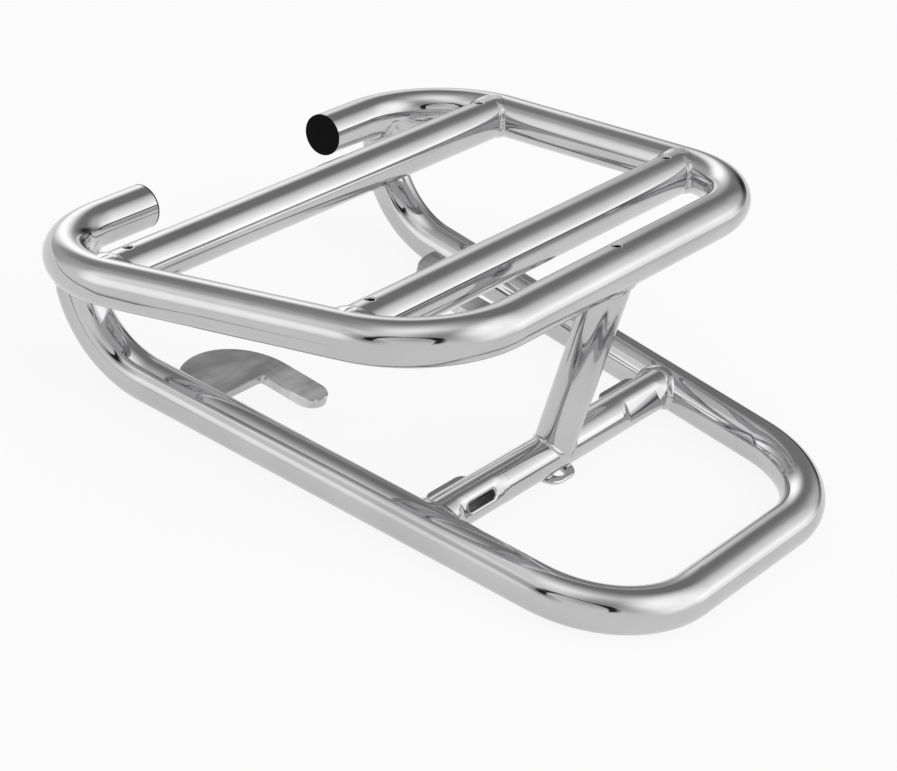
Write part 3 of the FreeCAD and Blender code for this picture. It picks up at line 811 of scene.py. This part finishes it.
def sweptFloor(tree):
    # Matt white paint, which shows as a white sweep: the camera and the chrome see mostly plain white there.
    # On it lies a painted reflection that only the chrome sees: a dark band beyond the rack's left, which
    # draws a thin dark line along the rail, and a greyer floor far to the right: dark = the band's onset *
    # fade * growth, or the far shade if more.
    paint = addNode(tree, "BsdfDiffuse", {"Color": srgb(floorLook["colour"])})
    place = addNode(tree, "TexCoord").outputs["Object"]
    x, y = addNode(tree, "SeparateXYZ", None, {"Vector": place}).outputs[:2]
    begins, deepest, ends = floorLook["dipAt"]
    rising, falling = (
        addNode(tree, "MapRange", {"From Min": brink, "From Max": deepest, "To Max": floorLook["dip"]},
                {"Value": x}) for brink in (begins, ends))
    dip = addNode(tree, "Math", {"operation": "MINIMUM"}, {0: rising, 1: falling})
    nearer = addNode(tree, "Math", {"operation": "ADD"}, {0: y, 1: dip})
    beyond = addNode(tree, "Math", {"operation": "SUBTRACT", 1: floorLook["bandLeft"]}, {0: nearer})
    onset = addNode(tree, "MapRange", {"From Max": floorLook["bandOnset"]}, {"Value": beyond})
    fade = addNode(tree, "MapRange", {"interpolation_type": "SMOOTHSTEP", "From Max": floorLook["bandWidth"],
                                      "To Min": floorLook["bandDepth"], "To Max": 0.0}, {"Value": beyond})
    begins, full = floorLook["bandStart"]
    growth = addNode(tree, "MapRange", {"From Min": begins, "From Max": full}, {"Value": x})
    begins, full = floorLook["farShade"]
    far = addNode(tree, "MapRange", {"From Min": begins, "From Max": full, "To Max": floorLook["farDepth"]},
                  {"Value": y})
    path = addNode(tree, "LightPath").outputs
    # painted reflection: the dark band and the far shade reach glossy rays only
    dark = onset
    for operation, other in (("MULTIPLY", fade), ("MULTIPLY", growth), ("MAXIMUM", far),
                             ("MULTIPLY", path["Is Glossy Ray"])):
        dark = addNode(tree, "Math", {"operation": operation}, {0: dark, 1: other})
    level = addNode(tree, "Math", {"operation": "SUBTRACT", 0: 1.0}, {1: dark})
    white = addNode(tree, "Emission", None, {"Strength": level})
    share = addNode(tree, "Math", {"operation": "MULTIPLY", 1: floorLook["whiteShare"]},
                    {0: path["Is Camera Ray"]})
    share = addNode(tree, "Math", {"operation": "MULTIPLY_ADD", 1: floorLook["chromeShare"]},
                    {0: path["Is Glossy Ray"], 2: share})
    share = addNode(tree, "Math", {"operation": "MAXIMUM"}, {0: share, 1: dark})
    return addNode(tree, "MixShader", None, {0: share, 1: paint, 2: white})


reach = floorLook["halfSize"]
floorMesh = bpy.data.meshes.new("floor")
floorMesh.from_pydata([(-reach, -reach, 0), (reach, -reach, 0), (reach, reach, 0), (-reach, reach, 0)], [],
                      [(0, 1, 2, 3)])
floorMesh.materials.append(makeMaterial("white painted studio floor", sweptFloor))
floor = bpy.data.objects.new("floor", floorMesh)
bpy.context.scene.collection.objects.link(floor)

# The studio round the rack: a plain level, with soft panels brighter or darker than it. turnTo, height and
# roll are in degrees, wide and tall are half sizes as slopes, and soft is the share of the edge that fades.
studio = {
    "level": 0.90,
    "least": 0.02,           # the darkest that it gets
    "frontOnly": 0.02,       # the least share of a direction that has to run towards a panel
    "panels": [
        {"turnTo": -147, "height": 38, "roll": 12, "wide": 0.62, "tall": 0.52, "soft": 0.53, "more": 0.66},
        {"turnTo": 192, "height": 47, "roll": 11, "wide": 0.21, "tall": 0.29, "soft": 0.71, "more": 0.31},
        {"turnTo": -40, "height": 15, "roll": 28, "wide": 0.19, "tall": 0.24, "soft": 0.88, "more": 1.19},
        {"turnTo": 154, "height": 53, "roll": -17, "wide": 0.71, "tall": 0.34, "soft": 1.0, "more": -0.50},
        {"turnTo": -5, "height": 11, "roll": -26, "wide": 0.31, "tall": 1.60, "soft": 0.75, "more": -0.36},
        {"turnTo": 71, "height": 29, "roll": -19, "wide": 0.51, "tall": 0.16, "soft": 0.53, "more": -0.48},
        {"turnTo": -67, "height": 38, "roll": 39, "wide": 1.06, "tall": 0.79, "soft": 0.72, "more": -0.65},
        {"turnTo": 53, "height": 21, "roll": 14, "wide": 0.32, "tall": 0.42, "soft": 0.6, "more": 0.55},
        {"turnTo": 64, "height": 78, "roll": -49, "wide": 0.55, "tall": 0.22, "soft": 0.99, "more": 0.47},
        {"turnTo": -126, "height": 8, "roll": 0, "wide": 0.30, "tall": 0.22, "soft": 0.5, "more": 0.42},
        {"turnTo": -86, "height": 3, "roll": 0, "wide": 0.42, "tall": 0.14, "soft": 0.6, "more": -0.3},
        {"turnTo": -99, "height": 24, "roll": -24, "wide": 0.21, "tall": 0.25, "soft": 0.88, "more": 0.43},
    ],
}
# a black arch, the shade round the opening in the white wall that the rack is seen through
darkArch = {
    "turnTo": 116, "height": 29, "roll": 0,
    "radius": 0.43,          # slopes from the arch's middle direction to its sharp inner edge
    "edge": 0.02,
    "fade": 0.2,             # how far out the shade goes at the sides
    "topFade": 0.04,         # the same at the top
    "topHalf": 0.1,          # half the width of that top, as a slope
    "foot": (-0.14, 0.04),   # upward slopes: where it has faded out, and where it is whole
    "depth": 1.25,
}


def slopesFrom(tree, direction, aim):
    # How far a direction runs along an aim, and its slopes off it to the side and upwards, rolled about it:
    # slope = (direction . axis) / (direction . aim).
    turnTo, height, roll = (math.radians(aim[key]) for key in ("turnTo", "height", "roll"))
    middle = np.array([math.cos(height) * math.cos(turnTo), math.cos(height) * math.sin(turnTo),
                       math.sin(height)])
    level = np.array([-math.sin(turnTo), math.cos(turnTo), 0.0])
    upright = np.cross(middle, level)
    axes = (middle, level * math.cos(roll) + upright * math.sin(roll),
            upright * math.cos(roll) - level * math.sin(roll))
    ahead, *off = (addNode(tree, "VectorMath", {"operation": "DOT_PRODUCT", 1: tuple(axis)},
                           {0: direction}).outputs["Value"] for axis in axes)
    safe = addNode(tree, "Math", {"operation": "MAXIMUM", 1: 0.001}, {0: ahead})  # never divides by zero
    return ahead, [addNode(tree, "Math", {"operation": "DIVIDE"}, {0: part, 1: safe}) for part in off]


def archShade(tree, direction):
    # The arch's darkness: a sharp rise at its inner edge * a fade outwards * a fade towards its foot.
    slopes = slopesFrom(tree, direction, darkArch)[1]
    flat = addNode(tree, "CombineXYZ", None, {"X": slopes[0], "Y": slopes[1]})
    away = addNode(tree, "VectorMath", {"operation": "LENGTH"}, {0: flat}).outputs["Value"]
    away = addNode(tree, "Math", {"operation": "SUBTRACT", 1: darkArch["radius"]}, {0: away})
    aside = addNode(tree, "Math", {"operation": "ABSOLUTE"}, {0: slopes[0]})
    reach = addNode(tree, "MapRange", {"From Min": darkArch["topHalf"], "From Max": darkArch["radius"],
                                       "To Min": darkArch["topFade"], "To Max": darkArch["fade"]},
                    {"Value": aside})
    share = addNode(tree, "Math", {"operation": "DIVIDE"}, {0: away, 1: reach})
    shade = addNode(tree, "MapRange", {"To Min": darkArch["depth"], "To Max": 0.0}, {"Value": share})
    gone, whole = darkArch["foot"]
    for settings, source in (({"From Min": -darkArch["edge"], "From Max": 0.0}, away),
                             ({"From Min": gone, "From Max": whole}, slopes[1])):
        part = addNode(tree, "MapRange", settings, {"Value": source})
        shade = addNode(tree, "Math", {"operation": "MULTIPLY"}, {0: shade, 1: part})
    return shade


def makeStudio():
    world = bpy.data.worlds.new("studio")
    bpy.context.scene.world = world
    world.use_nodes = True
    tree = world.node_tree
    tree.nodes.clear()
    direction = addNode(tree, "TexCoord").outputs["Generated"]
    total = addNode(tree, "Value")
    total.outputs[0].default_value = studio["level"]
    for panel in studio["panels"]:
        ahead, slopes = slopesFrom(tree, direction, panel)
        mask = addNode(tree, "Math", {"operation": "GREATER_THAN", 1: studio["frontOnly"]}, {0: ahead})
        for slope, half in zip(slopes, (panel["wide"], panel["tall"])):
            aside = addNode(tree, "Math", {"operation": "ABSOLUTE"}, {0: slope})
            fade = addNode(tree, "MapRange", {"interpolation_type": "SMOOTHSTEP",
                                              "From Min": half * (1 + panel["soft"]),
                                              "From Max": half * (1 - panel["soft"])}, {"Value": aside})
            mask = addNode(tree, "Math", {"operation": "MULTIPLY"}, {0: mask, 1: fade})
        total = addNode(tree, "Math", {"operation": "MULTIPLY_ADD", 1: panel["more"]}, {0: mask, 2: total})
    total = addNode(tree, "Math", {"operation": "SUBTRACT"}, {0: total, 1: archShade(tree, direction)})
    total = addNode(tree, "Math", {"operation": "MAXIMUM", 1: studio["least"]}, {0: total})
    lit = addNode(tree, "Background", None, {"Color": total})
    plain = addNode(tree, "Background", {"Color": (1, 1, 1, 1)})
    path = addNode(tree, "LightPath")
    seen = addNode(tree, "MixShader", None, {0: path.outputs["Is Camera Ray"], 1: lit, 2: plain})
    addNode(tree, "OutputWorld", None, {"Surface": seen})


makeStudio()

# the camera, from the outlines of the tubes in the photograph
viewpoint = {
    "place": (-0.5534714, 0.9363734, 0.6780908),
    "right": (-0.77798717, -0.60052676, 0.18467154),
    "up": (0.44677943, -0.32214344, 0.8346327),
    "lens": 105.34,
    "sensor": 36.0,
    "clip": (0.05, 30.0),
}
cameraData = bpy.data.cameras.new("camera")
cameraData.sensor_width = viewpoint["sensor"]
cameraData.sensor_fit = "HORIZONTAL"
cameraData.lens = viewpoint["lens"]
cameraData.clip_start, cameraData.clip_end = viewpoint["clip"]
camera = bpy.data.objects.new("camera", cameraData)
bpy.context.scene.collection.objects.link(camera)
rightward, upward = Vector(viewpoint["right"]), Vector(viewpoint["up"])
turned = Matrix((rightward, upward, rightward.cross(upward))).transposed()
camera.matrix_world = Matrix.Translation(viewpoint["place"]) @ turned.to_4x4()
bpy.context.scene.camera = camera
bpy.context.scene.view_settings.view_transform = "Standard"
print("floor, studio and camera ready")
